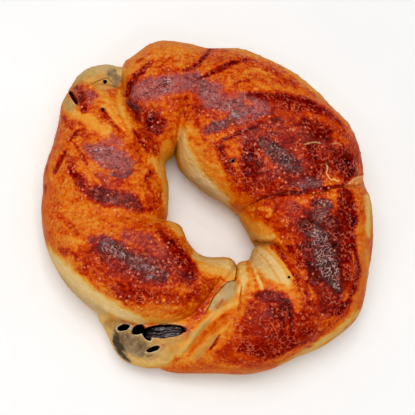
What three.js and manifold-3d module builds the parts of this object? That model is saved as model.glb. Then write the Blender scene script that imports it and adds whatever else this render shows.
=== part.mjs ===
// A baked ring-shaped roll of twisted, chocolate-filled dough, in millimetres, +Z up.
// It lies on its flat underside with the origin under its middle, and +Y is its far side.
import * as THREE from "three";
import { mergeVertices } from "three/addons/utils/BufferGeometryUtils.js";
import Module from "manifold-3d";

const wasm = await Module();
wasm.setup();

// The strands' sections are rounded boxes: a power of 2 would be an ellipse.
const SECTION_POWER = 2.3;
// The share of a strand's height at which it is widest.
const WIDEST_AT = 0.42;
// How deep the strands reach below the flat underside before it is cut.
const SINK = 3;
const SIDES = 32;
const RING_STEP = 3.2;
const CAP_RINGS = 5;
// The clearance between the filling and the dough round it.
const GAP = 0.3;
// The block that cuts the underside flat.
const UNDERCUT = { width: 160, depth: 20 };

// A strand's stations run clockwise round the hole. Each one gives
// [x, y of the edge beside the hole, x, y of the outer edge, height of the top].
// A crease crosses the strand from one station at the hole to another at the outer edge.
const LONG_STRAND = {
  startReach: 7,
  endReach: 7,
  stations: [
    [-17.5, 15, -30.5, 54, 33],
    [-13.2, 17.3, -19, 61, 36],
    [-10.5, 13.5, -2, 60.3, 36],
    [-6, 9, 15, 58, 37],
    [0, 5, 31, 50.5, 37],
    [5, 2, 43.5, 40, 37],
    [9, -1.5, 53, 27.5, 37],
    [11.5, -5.5, 57.5, 11, 36],
    [14.7, -10.5, 61, -4, 36],
    [15.5, -15, 59.3, -22, 35],
    [14.5, -18.3, 54.5, -40.5, 34],
    [11.5, -19.6, 37, -53, 33],
    [7, -19.3, 18, -60, 31],
    [1, -18.8, 0, -61, 27],
    [-5, -18.5, -15, -60.8, 24],
    [-12, -18, -29.5, -55, 22],
    [-19, -18, -37.5, -42, 19],
  ],
  creases: [
    { atHole: 1.3, atRim: 2.2, holeDepth: 4, rimDepth: 0.8, width: 3 },
    { atHole: 6.5, atRim: 7.2, holeDepth: 1.2, rimDepth: 2.0, width: 3 },
    { atHole: 8.6, atRim: 11.3, holeDepth: 3.5, rimDepth: 1.5, width: 3.5 },
    { atHole: 11.4, atRim: 14.3, holeDepth: 3.5, rimDepth: 1.5, width: 3.5 },
  ],
};
const SHORT_STRAND = {
  startReach: 4,
  endReach: 4.5,
  stations: [
    [6.5, -18.8, 2, -33, 27],
    [-3, -17.5, -6, -43, 31],
    [-7.5, -13.5, -17, -45.5, 34],
    [-10, -9, -31, -44, 35.5],
    [-12.5, -6.5, -46.5, -34.5, 35],
    [-14, -3.5, -56.5, -20.5, 34.5],
    [-14.7, 1, -61, -4, 34],
    [-15.2, 6.5, -60.5, 9, 34.5],
    [-16, 12, -56.5, 22, 34],
    [-17, 19.5, -54.8, 31.5, 33],
    [-22, 30, -54, 37, 31],
    [-27, 39, -52, 41.5, 27],
  ],
  creases: [{ atHole: 4.3, atRim: 6.6, holeDepth: 3.5, rimDepth: 1.0, width: 4 }],
};
const KNOB = {
  startReach: 3,
  endReach: 3,
  stations: [
    [-44, 33, -53.5, 37, 17],
    [-40, 38, -49, 48.5, 21],
    [-35, 38, -40, 53, 22],
    [-28, 38, -31, 52.5, 20],
  ],
  creases: [],
};

// The filling runs round inside the strands and swells up below the open slits.
const RIBBON = { halfWidth: 7, halfHeight: 3, middleHeight: 15, sides: 12, rings: 72 };
const SWELLS = [{ at: [-15, -47, 14.5], half: [10, 5, 5.5], turn: 4 }];
// Openings in the crust of the lower heel and beside the knob: ellipsoids cut out of the dough.
const SLITS = [
  { at: [-17.3, -46, 22.5], half: [10.5, 3.4, 5.5], turn: 2 },
  { at: [-25.2, -46, 19.5], half: [2.8, 2.6, 5], turn: 0 },
  { at: [-31.6, -44, 21], half: [2.6, 1.6, 5], turn: 15 },
  { at: [-20, -52, 20.5], half: [2.9, 1.3, 4.5], turn: 20 },
  { at: [-50.2, 41, 23], half: [3.6, 1.4, 8], turn: -57 },
];
const ROUND_SIDES = 24;
const ROUND_RINGS = 12;

// The row of a smooth curve through the rows of a table, at a station number between them.
function between(rows, place) {
  const last = rows.length - 1;
  const i = Math.min(Math.floor(place), last - 1);
  const t = place - i;
  const row = (k) => {
    if (k < 0) return rows[0].map((v, n) => 2 * v - rows[1][n]);
    if (k > last) return rows[last].map((v, n) => 2 * v - rows[last - 1][n]);
    return rows[k];
  };
  const [a, b, c, d] = [row(i - 1), row(i), row(i + 1), row(i + 2)];
  return b.map((_, n) => {
    const slope = (c[n] - a[n]) / 2;
    const nextSlope = (d[n] - b[n]) / 2;
    const cubic = 2 * b[n] - 2 * c[n] + slope + nextSlope;
    const square = -3 * b[n] + 3 * c[n] - 2 * slope - nextSlope;
    return cubic * t ** 3 + square * t ** 2 + slope * t + b[n];
  });
}

function middleAt(strand, place) {
  const [holeX, holeY, rimX, rimY, height] = between(strand.stations, place);
  return new THREE.Vector3((holeX + rimX) / 2, (holeY + rimY) / 2, height * WIDEST_AT);
}

const lerp = THREE.MathUtils.lerp;

// Rings lean along with the creases. A ring is numbered by its station at mid-strand, and this is
// its station at a share of the way from the hole (0) to the outer edge (1).
function leaningStation(strand, ring, share) {
  const last = strand.stations.length - 1;
  const knots = strand.creases.map((c) => [(c.atHole + c.atRim) / 2, lerp(c.atHole, c.atRim, share)]);
  const line = [[0, 0], ...knots, [last, last]];
  const i = Math.max(1, line.findIndex(([middle]) => middle >= ring));
  const [[fromRing, from], [toRing, to]] = [line[i - 1], line[i]];
  return lerp(from, to, (ring - fromRing) / (toRing - fromRing));
}

// The rings' numbers: evenly spread, with one exactly on each crease.
function ringNumbers(strand, stationLength) {
  const stops = [0, ...strand.creases.map((c) => (c.atHole + c.atRim) / 2), strand.stations.length - 1];
  const numbers = [0];
  for (let i = 1; i < stops.length; i++) {
    const count = Math.round(((stops[i] - stops[i - 1]) * stationLength) / RING_STEP);
    for (let n = 1; n <= count; n++) numbers.push(lerp(stops[i - 1], stops[i], n / count));
  }
  return numbers;
}

// One cross-section of a strand as a ring of points. The creases are grooves in its top and sides.
function section(strand, ring, shift, scale, stationLength) {
  const points = [];
  for (let k = 0; k < SIDES; k++) {
    const turn = (2 * Math.PI * k) / SIDES;
    const share = Math.abs(1 - turn / Math.PI);
    const place = leaningStation(strand, ring, share);
    const [holeX, holeY, rimX, rimY, height] = between(strand.stations, place);
    const c = Math.cos(turn);
    const s = Math.sin(turn);
    const outward = Math.sign(c) * Math.abs(c) ** (2 / SECTION_POWER);
    const upward = Math.sign(s) * Math.abs(s) ** (2 / SECTION_POWER);
    const rise = s > 0 ? height * (1 - WIDEST_AT) : height * WIDEST_AT + SINK;
    const offset = new THREE.Vector3((rimX - holeX) / 2, (rimY - holeY) / 2, 0);
    offset.multiplyScalar(outward).setZ(upward * rise);
    let deep = 0;
    for (const crease of strand.creases) {
      const away = Math.abs(ring - (crease.atHole + crease.atRim) / 2) * stationLength;
      deep += lerp(crease.holeDepth, crease.rimDepth, share) * Math.exp(-away / crease.width);
    }
    deep *= 1 + Math.min(0, s);
    offset.multiplyScalar(scale * (1 - deep / offset.length()));
    points.push(offset.add(middleAt(strand, place)).add(shift));
  }
  return points;
}

// A closed body through rings of points, from one pole to the other.
function bodyThrough(rings, firstPole, lastPole) {
  const sides = rings[0].length;
  const vertices = rings.flat().flatMap((p) => p.toArray());
  const faces = [];
  for (let i = 0; i < rings.length - 1; i++) {
    for (let k = 0; k < sides; k++) {
      const a = i * sides + k;
      const b = i * sides + ((k + 1) % sides);
      faces.push(a, b, a + sides, b, b + sides, a + sides);
    }
  }
  const pole = vertices.length / 3;
  vertices.push(...firstPole.toArray(), ...lastPole.toArray());
  for (let k = 0; k < sides; k++) {
    const next = (k + 1) % sides;
    const end = (rings.length - 1) * sides;
    faces.push(pole, next, k);
    faces.push(pole + 1, end + k, end + next);
  }
  const geometry = new THREE.BufferGeometry();
  geometry.setAttribute("position", new THREE.Float32BufferAttribute(vertices, 3));
  geometry.setIndex(faces);
  return geometry;
}

// A strand as a closed body with rounded ends.
function strandGeometry(strand) {
  const last = strand.stations.length - 1;
  let length = 0;
  for (let i = 0; i < last; i++) length += middleAt(strand, i).distanceTo(middleAt(strand, i + 1));
  const stationLength = length / last;
  const way = (from, to) => middleAt(strand, to).sub(middleAt(strand, from)).setZ(0).normalize();
  const startWay = way(0.2, 0);
  const endWay = way(last - 0.2, last);
  const cap = (ring, direction, reach, n) => {
    const angle = (n / CAP_RINGS) * (Math.PI / 2);
    const shift = direction.clone().multiplyScalar(reach * Math.sin(angle));
    return section(strand, ring, shift, Math.cos(angle), stationLength);
  };
  const rings = [];
  for (let n = CAP_RINGS - 1; n > 0; n--) rings.push(cap(0, startWay, strand.startReach, n));
  for (const ring of ringNumbers(strand, stationLength)) {
    rings.push(section(strand, ring, new THREE.Vector3(), 1, stationLength));
  }
  for (let n = 1; n < CAP_RINGS; n++) rings.push(cap(last, endWay, strand.endReach, n));
  const startPole = middleAt(strand, 0).addScaledVector(startWay, strand.startReach);
  const endPole = middleAt(strand, last).addScaledVector(endWay, strand.endReach);
  return bodyThrough(rings, startPole, endPole);
}

// A three.js geometry as a solid that can be joined and cut.
function solidOf(geometry) {
  const bare = geometry.clone();
  bare.deleteAttribute("normal");
  bare.deleteAttribute("uv");
  const merged = mergeVertices(bare, 1e-4);
  const mesh = new wasm.Mesh({
    numProp: 3,
    vertProperties: new Float32Array(merged.attributes.position.array),
    triVerts: new Uint32Array(merged.index.array),
  });
  return new wasm.Manifold(mesh);
}

function geometryOf(solid) {
  const mesh = solid.getMesh();
  const geometry = new THREE.BufferGeometry();
  geometry.setAttribute("position", new THREE.Float32BufferAttribute(mesh.vertProperties, 3));
  geometry.setIndex(new THREE.BufferAttribute(mesh.triVerts, 1));
  geometry.computeVertexNormals();
  return geometry;
}

const union = (solids) => solids.reduce((whole, solid) => whole.add(solid));

function ellipsoid({ at, half, turn }, extra) {
  const geometry = new THREE.SphereGeometry(1, ROUND_SIDES, ROUND_RINGS);
  geometry.scale(half[0] + extra, half[1] + extra, half[2] + extra);
  geometry.rotateZ(THREE.MathUtils.degToRad(turn));
  geometry.translate(...at);
  return solidOf(geometry);
}

// The closed loop midway between the hole and the outer edge of both strands.
function ribbonPath() {
  const onLong = [1, 3, 5, 7, 9, 11, 13, 15];
  const onShort = [4, 6, 8];
  const points = [
    ...onLong.map((n) => middleAt(LONG_STRAND, n)),
    ...onShort.map((n) => middleAt(SHORT_STRAND, n)),
  ];
  for (const p of points) p.z = RIBBON.middleHeight;
  return new THREE.CatmullRomCurve3(points, true);
}

function fillingSolid(extra) {
  const path = ribbonPath();
  const { sides, rings } = RIBBON;
  const vertices = [];
  const faces = [];
  for (let i = 0; i < rings; i++) {
    const middle = path.getPointAt(i / rings);
    const along = path.getTangentAt(i / rings);
    const outward = new THREE.Vector3(-along.y, along.x, 0).normalize();
    for (let k = 0; k < sides; k++) {
      const turn = (2 * Math.PI * k) / sides;
      const point = middle.clone().addScaledVector(outward, Math.cos(turn) * (RIBBON.halfWidth + extra));
      point.z += Math.sin(turn) * (RIBBON.halfHeight + extra);
      vertices.push(...point.toArray());
      const next = (k + 1) % sides;
      const a = i * sides + k;
      const b = i * sides + next;
      const c = ((i + 1) % rings) * sides + k;
      const d = ((i + 1) % rings) * sides + next;
      faces.push(a, b, c, b, d, c);
    }
  }
  const ribbon = new THREE.BufferGeometry();
  ribbon.setAttribute("position", new THREE.Float32BufferAttribute(vertices, 3));
  ribbon.setIndex(faces);
  return union([solidOf(ribbon), ...SWELLS.map((swell) => ellipsoid(swell, extra))]);
}

// The strands joined, cut flat below, with the filling's channel and the openings cut out.
function doughSolid() {
  const strands = [LONG_STRAND, SHORT_STRAND, KNOB].map((strand) => solidOf(strandGeometry(strand)));
  const below = new THREE.BoxGeometry(UNDERCUT.width, UNDERCUT.width, UNDERCUT.depth);
  below.translate(0, 0, -UNDERCUT.depth / 2);
  const cuts = [solidOf(below), fillingSolid(GAP), ...SLITS.map((slit) => ellipsoid(slit, 0))];
  return union(strands).subtract(union(cuts));
}

const roll = new THREE.Group();

function addNode(name, solid, color, roughness) {
  const material = new THREE.MeshStandardMaterial({ color, roughness, metalness: 0 });
  const mesh = new THREE.Mesh(geometryOf(solid), material);
  mesh.name = name;
  roll.add(mesh);
}

addNode("dough", doughSolid(), 0xb85a1e, 0.4);
addNode("filling", fillingSolid(0), 0x35211a, 0.35);

export default roll;
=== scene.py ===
# The looks of a baked ring-shaped roll: glossy browned crust, twisted dough, chocolate in its slits.
from math import cos, pi, radians, sin, tan

import bpy
import numpy as np
from mathutils import Matrix, Vector
from numpy.linalg import norm


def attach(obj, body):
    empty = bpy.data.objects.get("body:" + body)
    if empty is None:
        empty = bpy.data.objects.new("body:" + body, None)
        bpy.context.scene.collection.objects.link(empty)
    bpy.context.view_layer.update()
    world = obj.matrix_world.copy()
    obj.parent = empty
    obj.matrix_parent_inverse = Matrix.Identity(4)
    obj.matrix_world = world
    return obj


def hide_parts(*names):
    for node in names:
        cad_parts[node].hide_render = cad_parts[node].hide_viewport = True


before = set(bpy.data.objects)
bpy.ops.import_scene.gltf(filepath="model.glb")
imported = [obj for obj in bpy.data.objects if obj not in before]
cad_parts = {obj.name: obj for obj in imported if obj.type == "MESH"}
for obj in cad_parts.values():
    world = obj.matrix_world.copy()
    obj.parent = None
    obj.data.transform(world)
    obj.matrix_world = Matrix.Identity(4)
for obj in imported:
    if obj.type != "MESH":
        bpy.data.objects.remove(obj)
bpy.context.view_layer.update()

MM = 0.001

# ---- the photograph's view

PHOTO_SIZE = 415
FIELD_OF_VIEW = 19.2
SENSOR = 36.0
DISTANCE = 450.0
TILT = 12.0
TILT_TOWARDS = -115.0
AIMED_AT = (-0.2, -1.0, 16.0)
PIXEL_MM = 0.367


def view_axes():
    """The camera's right, up and backward directions."""
    tilt, towards = radians(TILT), radians(TILT_TOWARDS)
    back = Vector((sin(tilt) * cos(towards), sin(tilt) * sin(towards), cos(tilt)))
    right = Vector((0, 1, 0)).cross(back).normalized()
    return right, back.cross(right), back


TOWARDS_CAMERA = np.array(view_axes()[2])


def photo_pixels(points):
    """Where points (in mm) lie in the photograph's 415 x 415 frame."""
    right, up, back = (np.array(v) for v in view_axes())
    seen = points - (np.array(AIMED_AT) + back * DISTANCE)
    depth = -(seen @ back)
    half = tan(radians(FIELD_OF_VIEW / 2))
    x = 0.5 + (seen @ right) / depth / (2 * half)
    y = 0.5 - (seen @ up) / depth / (2 * half)
    return np.stack([x, y], axis=-1) * PHOTO_SIZE


# ---- the strands (mm), close to those of the solids

SECTION_POWER = 2.3
WIDEST_AT = 0.42
SINK = 3.0
CAP_RINGS = 26
RING_STEP = 0.55
TOP_SIDES = 150
LOW_SIDES = 40
CREASE_ROUND = 1.2
END_STEP = 0.2

# A station is x, y of the edge beside the hole, x, y of the outer edge, and the height of the top.
# A crease is its station at the hole, its station at the outer edge, its two depths and its width.
# A reach is how far the rounded end of a strand goes past its first or last station.
LONG_STRAND = {
    "reach": (7, 7),
    "stations": [
        (-17.5, 15, -30.5, 54, 33), (-12.8, 18, -19, 61, 36), (-10.5, 14, -2, 60.3, 36),
        (-6.3, 9.3, 15, 58, 37), (-1, 4.8, 31, 50.5, 37), (4.3, 1.8, 43.5, 40, 37),
        (8.8, -1.5, 53.8, 27.9, 37), (12, -5.4, 59, 11.3, 36), (15.3, -10.6, 60.6, -4, 36),
        (16.2, -15.4, 59.3, -22, 35),
        (15.4, -20, 54.5, -40.5, 34), (11.9, -20.8, 37.9, -54.3, 33), (7, -20, 18.4, -61.2, 31),
        (1, -18.8, 0, -61, 27), (-5, -18.5, -15, -60.8, 24), (-12, -18, -30.2, -56.2, 22),
        (-19, -18, -38.1, -42.8, 19),
    ],
    "creases": [
        (1.3, 2.2, 4, 0.8, 3), (6.5, 7.2, 1.2, 2, 3), (8.6, 11.3, 3.5, 1.5, 3.5),
        (11.4, 14.3, 1.8, 1.5, 2.5),
    ],
}
SHORT_STRAND = {
    "reach": (6, 4.5),
    "start_way": (0.98, -0.2, 0),
    "stations": [
        (7, -19.4, 2, -33, 27), (-3, -18.6, -6, -43, 31), (-7.5, -14.3, -17, -45.5, 34),
        (-10, -9, -31, -44, 35.5), (-12.5, -6.5, -46.5, -34.5, 35), (-13.6, -3.5, -56.5, -20.5, 34.5),
        (-14, 1, -61, -4, 34), (-14.5, 6.5, -60.5, 9, 34.5), (-16, 12, -56.5, 22, 34),
        (-17, 19.5, -54.8, 31.5, 33), (-22, 30, -54, 37, 31), (-27, 39, -52, 41.5, 27),
    ],
    "creases": [(4.3, 6.6, 3.5, 1.0, 4)],
}
KNOB = {
    "reach": (3, 3),
    "stations": [
        (-44, 33, -53.5, 37, 17), (-40, 38, -49, 48.5, 21), (-35, 38, -40, 53, 22),
        (-28, 38, -31, 52.5, 20),
    ],
    "creases": [],
}


def smooth_curve(a, b, c, d, t):
    """The Catmull-Rom curve from b to c."""
    slope, next_slope = (c - a) / 2, (d - b) / 2
    cubic = 2 * b - 2 * c + slope + next_slope
    square = -3 * b + 3 * c - 2 * slope - next_slope
    return ((cubic * t + square) * t + slope) * t + b


def between(rows, place):
    """The rows' values at places that need not be whole numbers."""
    rows = np.asarray(rows, float)
    rows = np.vstack([2 * rows[0] - rows[1], rows, 2 * rows[-1] - rows[-2]])
    last = len(rows) - 3
    i = np.clip(np.floor(place).astype(int), 0, last - 1)
    return smooth_curve(rows[i], rows[i + 1], rows[i + 2], rows[i + 3], (place - i)[..., None])


def middle_at(strand, place):
    """The middle of a strand's section, at the height where it is widest."""
    row = between(strand["stations"], np.asarray(place, float))
    x, y = (row[..., 0] + row[..., 2]) / 2, (row[..., 1] + row[..., 3]) / 2
    return np.stack([x, y, row[..., 4] * WIDEST_AT], axis=-1)


def crease_middles(strand):
    return [(c[0] + c[1]) / 2 for c in strand["creases"]]


def leaning_station(strand, ring, share):
    """The station of a slanted ring at a share of the way from the hole to the outer edge."""
    last = len(strand["stations"]) - 1
    knots = [0, *crease_middles(strand), last]
    ends = [(0, 0), *[(c[0], c[1]) for c in strand["creases"]], (last, last)]
    place = np.zeros(np.broadcast(ring, share).shape)
    for i in range(1, len(knots)):
        inside = (ring >= knots[i - 1]) & (ring <= knots[i])
        t = (ring - knots[i - 1]) / (knots[i] - knots[i - 1])
        start = ends[i - 1][0] + (ends[i - 1][1] - ends[i - 1][0]) * share
        end = ends[i][0] + (ends[i][1] - ends[i][0]) * share
        place = np.where(inside, start + (end - start) * t, place)
    return place


def strand_grid(strand):
    """A strand's points as an array (ring, side, xyz), with its two poles."""
    last = len(strand["stations"]) - 1
    middles = middle_at(strand, np.arange(last + 1))
    station_length = norm(np.diff(middles, axis=0), axis=1).sum() / last
    stops = [0, *crease_middles(strand), last]
    rings = [0.0]
    for low, high in zip(stops, stops[1:]):
        count = round((high - low) * station_length / RING_STEP)
        rings += list(low + (high - low) * np.arange(1, count + 1) / count)
    ways = []
    for near, far in ((0, END_STEP), (last, last - END_STEP)):
        way = middle_at(strand, near) - middle_at(strand, far)
        way[2] = 0
        ways.append(way / norm(way))
    if "start_way" in strand:
        ways[0] = np.array(strand["start_way"])
    angles = np.arange(1, CAP_RINGS) / CAP_RINGS * pi / 2
    ring = np.concatenate([np.zeros(CAP_RINGS - 1), rings, np.full(CAP_RINGS - 1, last)])
    scale = np.concatenate([np.cos(angles[::-1]), np.ones(len(rings)), np.cos(angles)])
    start = np.sin(angles[::-1])[:, None] * ways[0] * strand["reach"][0]
    end = np.sin(angles)[:, None] * ways[1] * strand["reach"][1]
    shift = np.concatenate([start, np.zeros((len(rings), 3)), end])

    top = np.linspace(0, pi, TOP_SIDES, endpoint=False)
    low = np.linspace(pi, 2 * pi, LOW_SIDES, endpoint=False)
    turn = np.concatenate([top, low])[None, :]
    share = np.abs(1 - turn / pi)
    place = leaning_station(strand, ring[:, None], share)
    row = between(strand["stations"], place)
    c, s = np.cos(turn), np.sin(turn)
    outward = np.sign(c) * np.abs(c) ** (2 / SECTION_POWER)
    upward = np.sign(s) * np.abs(s) ** (2 / SECTION_POWER)
    height = row[..., 4]
    rise = np.where(s > 0, height * (1 - WIDEST_AT), height * WIDEST_AT + SINK)
    across = (row[..., 2:4] - row[..., 0:2]) / 2
    offset = np.concatenate([across * outward[..., None], (upward * rise)[..., None]], axis=-1)
    deep = np.zeros(offset.shape[:2])
    for at_hole, at_rim, hole_depth, rim_depth, width in strand["creases"]:
        away = np.abs(ring[:, None] - (at_hole + at_rim) / 2) * station_length
        away = np.hypot(away, CREASE_ROUND) - CREASE_ROUND
        deep += (hole_depth + (rim_depth - hole_depth) * share) * np.exp(-away / width)
    deep *= 1 + np.minimum(0, s)
    size = norm(offset, axis=-1)
    offset *= (scale[:, None] * (1 - deep / size))[..., None]
    ends = zip((0, last), ways, strand["reach"])
    poles = [middle_at(strand, station) + way * reach for station, way, reach in ends]
    return middle_at(strand, place) + offset + shift[:, None, :], poles


def grid_faces(rings, sides):
    """Quads of a tube of rings and the two fans that close it. The two poles follow the rings' points."""
    i, k = np.meshgrid(np.arange(rings - 1), np.arange(sides), indexing="ij")
    a, b = i * sides + k, i * sides + (k + 1) % sides
    quads = np.stack([a, b, b + sides, a + sides], axis=-1).reshape(-1, 4)
    side = np.arange(sides)
    after = (side + 1) % sides
    first, end = rings * sides, (rings - 1) * sides
    start_fan = np.stack([np.full(sides, first), after, side], axis=-1)
    end_fan = np.stack([np.full(sides, first + 1), end + side, end + after], axis=-1)
    return quads.tolist() + start_fan.tolist() + end_fan.tolist()


# ---- noise


def lattice_random(cell, seed):
    """A repeatable random number from 0 to 1 for each whole-number cell."""
    x, y, z = (cell[..., i].astype(np.int64) for i in range(3))
    h = (x * 73856093) ^ (y * 19349663) ^ (z * 83492791) ^ (seed * 2654435761)
    h = (h ^ (h >> 13)) * 1274126177 & 0xFFFFFFFF
    h = (h ^ (h >> 15)) * 2246822519 & 0xFFFFFFFF
    return ((h ^ (h >> 14)) & 0xFFFFFF) / float(0xFFFFFF)


def smooth_noise(points, scale, seed):
    """Value noise from -1 to 1 with features of about scale mm."""
    p = points / scale
    base = np.floor(p)
    t = p - base
    t = t * t * (3 - 2 * t)
    total = np.zeros(p.shape[:-1])
    for corner in np.ndindex(2, 2, 2):
        weight = np.prod(np.where(np.array(corner), t, 1 - t), axis=-1)
        total += weight * lattice_random(base + corner, seed)
    return total * 2 - 1


def rough_noise(points, scale, seed, octaves=3, fading=0.55):
    """Value noise with finer and fainter noise on top."""
    total, weight = 0, 1.0
    for n in range(octaves):
        total = total + weight * smooth_noise(points, scale / 2**n, seed + n)
        weight *= fading
    return total


def nearest_cell(points, scale, seed):
    """Distance to the nearest jittered lattice point, in cells, and that point's own random number."""
    p = points / scale
    base = np.floor(p)
    best = np.full(p.shape[:-1], 9.0)
    owner = np.zeros(p.shape[:-1])
    for step in np.ndindex(3, 3, 3):
        cell = base + np.array(step) - 1
        jitter = np.stack([lattice_random(cell, seed + k) for k in range(3)], axis=-1)
        away = norm(cell + jitter - p, axis=-1)
        nearer = away < best
        best = np.where(nearer, away, best)
        owner = np.where(nearer, lattice_random(cell, seed + 9), owner)
    return best, owner


def ease(low, high, value):
    """A soft step from 0 at low to 1 at high, where low may be above high."""
    t = np.clip((value - low) / (high - low), 0, 1)
    return t * t * (3 - 2 * t)


def from_segment(pixels, a, b):
    """The nearest point's share of the way from a to b, the way, and the step from there to the pixels."""
    a = np.array(a, float)
    way = np.array(b, float) - a
    t = np.clip(((pixels - a) @ way) / (way @ way), 0, 1)
    return t, way, pixels - (a + t[:, None] * way)


def polyline_distance(pixels, points):
    """Distance in pixels to a polyline, the share of the way along it, and the signed side."""
    best = np.full(len(pixels), np.inf)
    along = np.zeros(len(pixels))
    side = np.zeros(len(pixels))
    steps = len(points) - 1
    for n in range(steps):
        t, way, away = from_segment(pixels, points[n], points[n + 1])
        distance = norm(away, axis=1)
        nearer = distance < best
        best = np.where(nearer, distance, best)
        along = np.where(nearer, (n + t) / steps, along)
        side = np.where(nearer, np.sign(way[0] * away[:, 1] - way[1] * away[:, 0]), side)
    return best, along, side


# ---- relief of the crust


def table(text):
    """Rows of cells. A cell is a word, or the numbers between its commas, and # starts a heading."""
    rows = [row.split("#")[0].split() for row in text.splitlines()]
    return [[c if c.isalpha() else [float(n) for n in c.split(",")] for c in row] for row in rows if row]


# Grooves, ridges and steps of the crust: the kind, then depth or height and half width in mm, then
# points in the photograph's pixels. A crack is a groove with a dark line in it, and a split one with
# a pale line.
FOLDS = table("""
groove 0.45,0.6 212,47 207,55 200,64 193,68 184,71
groove 0.6,0.8 192,82 188,94 186,105 181,125 173,150
groove 0.45,0.6 200,78 212,72 223,66 235,64 252,60
groove 0.4,0.5 127,92 133,80 143,68 155,61
step 0.9,1.2 251,91 276,90 308,96 328,107 341,120
crack 0.6,0.5 238,211 264,198 289,191 315,194 334,188 353,186 366,184
groove 0.35,0.6 69,141 76,147 80,156 87,165
groove 0.4,1.2 55,171 61,158 67,150
groove 0.4,1.2 69,141 75,134 82,127
groove 0.9,0.7 218,320 207,330 197,341 188,351
ridge 1,1.1 233,303 222,309 211,315 199,328 189,341 181,354
ridge 0.8,1.2 233,315 222,325 211,335 201,347 193,359
crack 0.6,0.4 218,337 214,343 209,350
crack 0.35,0.5 242,288 240,296 240,303 237,315
crack 0.75,0.5 235,260 237,268 236,275 235,280 228,282 222,287 214,296 209,307 203,315
crack 0.6,0.5 253,241 264,242 277,245 284,256
groove 0.35,0.7 289,300 292,315 293,330 292,345
ridge 0.5,0.6 254,266 258,275 262,285
ridge 0.3,0.5 262,262 267,267 271,271
split 0.7,0.35 325,162 328,168 326,172 328,176 331,180 334,179 337,181 341,180
split 0.7,0.4 347,185 353,180 358,177 365,176
split 0.5,0.4 352,187 358,182 362,179 367,179
split 0.4,0.3 303,145 309,143 316,142 322,144
split 0.3,0.3 331,144 338,143 343,146
crack 0.5,0.4 90,84 94,83 98,81 103,79 108,78 111,81 114,84
crack 0.6,0.35 138,356.5 144,355.5
crack 0.6,0.35 146,357 153,355
""")
# Small holes of the crust: x and y in the photograph, and radius in mm.
PITS = [(105, 82, 1.0), (103, 109, 0.9), (233, 161, 0.8), (289, 277, 0.8)]
PIT_DEPTH = 1.6
FOLD_END = 0.15
GROOVE_POWER, RIDGE_POWER = 1.5, 2
STEP_EDGE = 0.3
# The crust's own unevenness: height and size in mm, and seed.
SWELLINGS = [(0.45, 14, 1), (0.22, 6, 2)]
WRINKLES = (0.16, 2.4, 3)
BLISTERS = (0.26, 1.9, 21)
BLISTERS_LEFT_OUT = 0.45
ALONG_THE_ROLL = np.array([0.45, 1.0, 1.0])


def fold_relief(pixels):
    """The height in mm of the folds and pits at the pixels."""
    total = np.zeros(len(pixels))
    for kind, (size, width), *points in FOLDS:
        distance, along, side = polyline_distance(pixels, points)
        distance = distance * PIXEL_MM
        fade = ease(0, FOLD_END, along) * ease(1, 1 - FOLD_END, along)
        if kind in ("groove", "crack", "split"):
            total -= size * fade * np.exp(-((distance / width) ** GROOVE_POWER))
        elif kind == "ridge":
            total += size * fade * np.exp(-((distance / width) ** RIDGE_POWER))
        else:
            edge = (1 - np.exp(-distance / STEP_EDGE)) * np.exp(-distance / (3 * width))
            total += size * fade * 0.5 * side * edge
    for x, y, radius in PITS:
        away = np.hypot(pixels[:, 0] - x, pixels[:, 1] - y) * PIXEL_MM
        total -= PIT_DEPTH * radius * ease(1.2 * radius, 0.5 * radius, away)
    return total


def relief(points, normals):
    """How far the crust stands out from the strands' plain form, in mm."""
    pixels = photo_pixels(points)
    facing = ease(0.05, 0.35, normals @ TOWARDS_CAMERA)
    up = ease(-0.2, 0.5, normals[:, 2])
    out = sum(height * smooth_noise(points, size, seed) for height, size, seed in SWELLINGS)
    height, size, seed = WRINKLES
    out += height * rough_noise(points * ALONG_THE_ROLL, size, seed) * up
    out += facing * fold_relief(pixels)
    height, size, seed = BLISTERS
    blister, owner = nearest_cell(points, size, seed)
    out += height * up * ease(0.55, 0.1, blister) * (owner > BLISTERS_LEFT_OUT)
    return out


def grid_normals(grid):
    """The outward directions at a strand's points."""
    along = np.gradient(grid, axis=0)
    around = (np.roll(grid, -1, axis=1) - np.roll(grid, 1, axis=1)) / 2
    normal = np.cross(around, along)
    size = norm(normal, axis=-1, keepdims=True)
    return normal / np.maximum(size, 1e-9)


def vectors(items, name):
    """The places or directions of a mesh's points, as rows."""
    values = np.empty(len(items) * 3)
    items.foreach_get(name, values)
    return values.reshape(-1, 3)


def add_object(name, data):
    thing = bpy.data.objects.new(name, data)
    bpy.context.scene.collection.objects.link(thing)
    return thing


def mesh_object(name, points, faces):
    """An object from points in mm."""
    mesh = bpy.data.meshes.new(name)
    mesh.from_pydata((points * MM).tolist(), [], faces)
    return add_object(name, mesh)


def strand_object(name, strand):
    grid, poles = strand_grid(strand)
    points, outward = grid.reshape(-1, 3), grid_normals(grid).reshape(-1, 3)
    points = points + outward * relief(points, outward)[:, None]
    return mesh_object(name, np.vstack([points, poles]), grid_faces(*grid.shape[:2]))


# ---- joining and cutting

# Openings in the crust, near those of the solids: centre, half sizes (mm) and turn about Z (degrees).
SLITS = [
    ((-16.2, -46.9, 22.5), (8.1, 2.4, 6.5), 3),
    ((-22.3, -48.0, 21), (2.7, 1.3, 6), -58),
    ((-25.2, -46.3, 19.5), (2.5, 1.7, 6), 28),
    ((-30.5, -45.5, 20), (2.4, 1.2, 6), 12),
    ((-19.8, -53.1, 20), (2.5, 0.95, 5), 20),
    ((-49.7, 37, 24), (4.4, 0.95, 12), -67),
]
RIBBON_HALF_WIDTH, RIBBON_HALF_HEIGHT, RIBBON_HEIGHT = 7.0, 3.0, 15.0
# The stations of the long and the short strand that the filling runs through.
RIBBON_LONG, RIBBON_SHORT = range(1, 16, 2), range(4, 9, 2)
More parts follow.
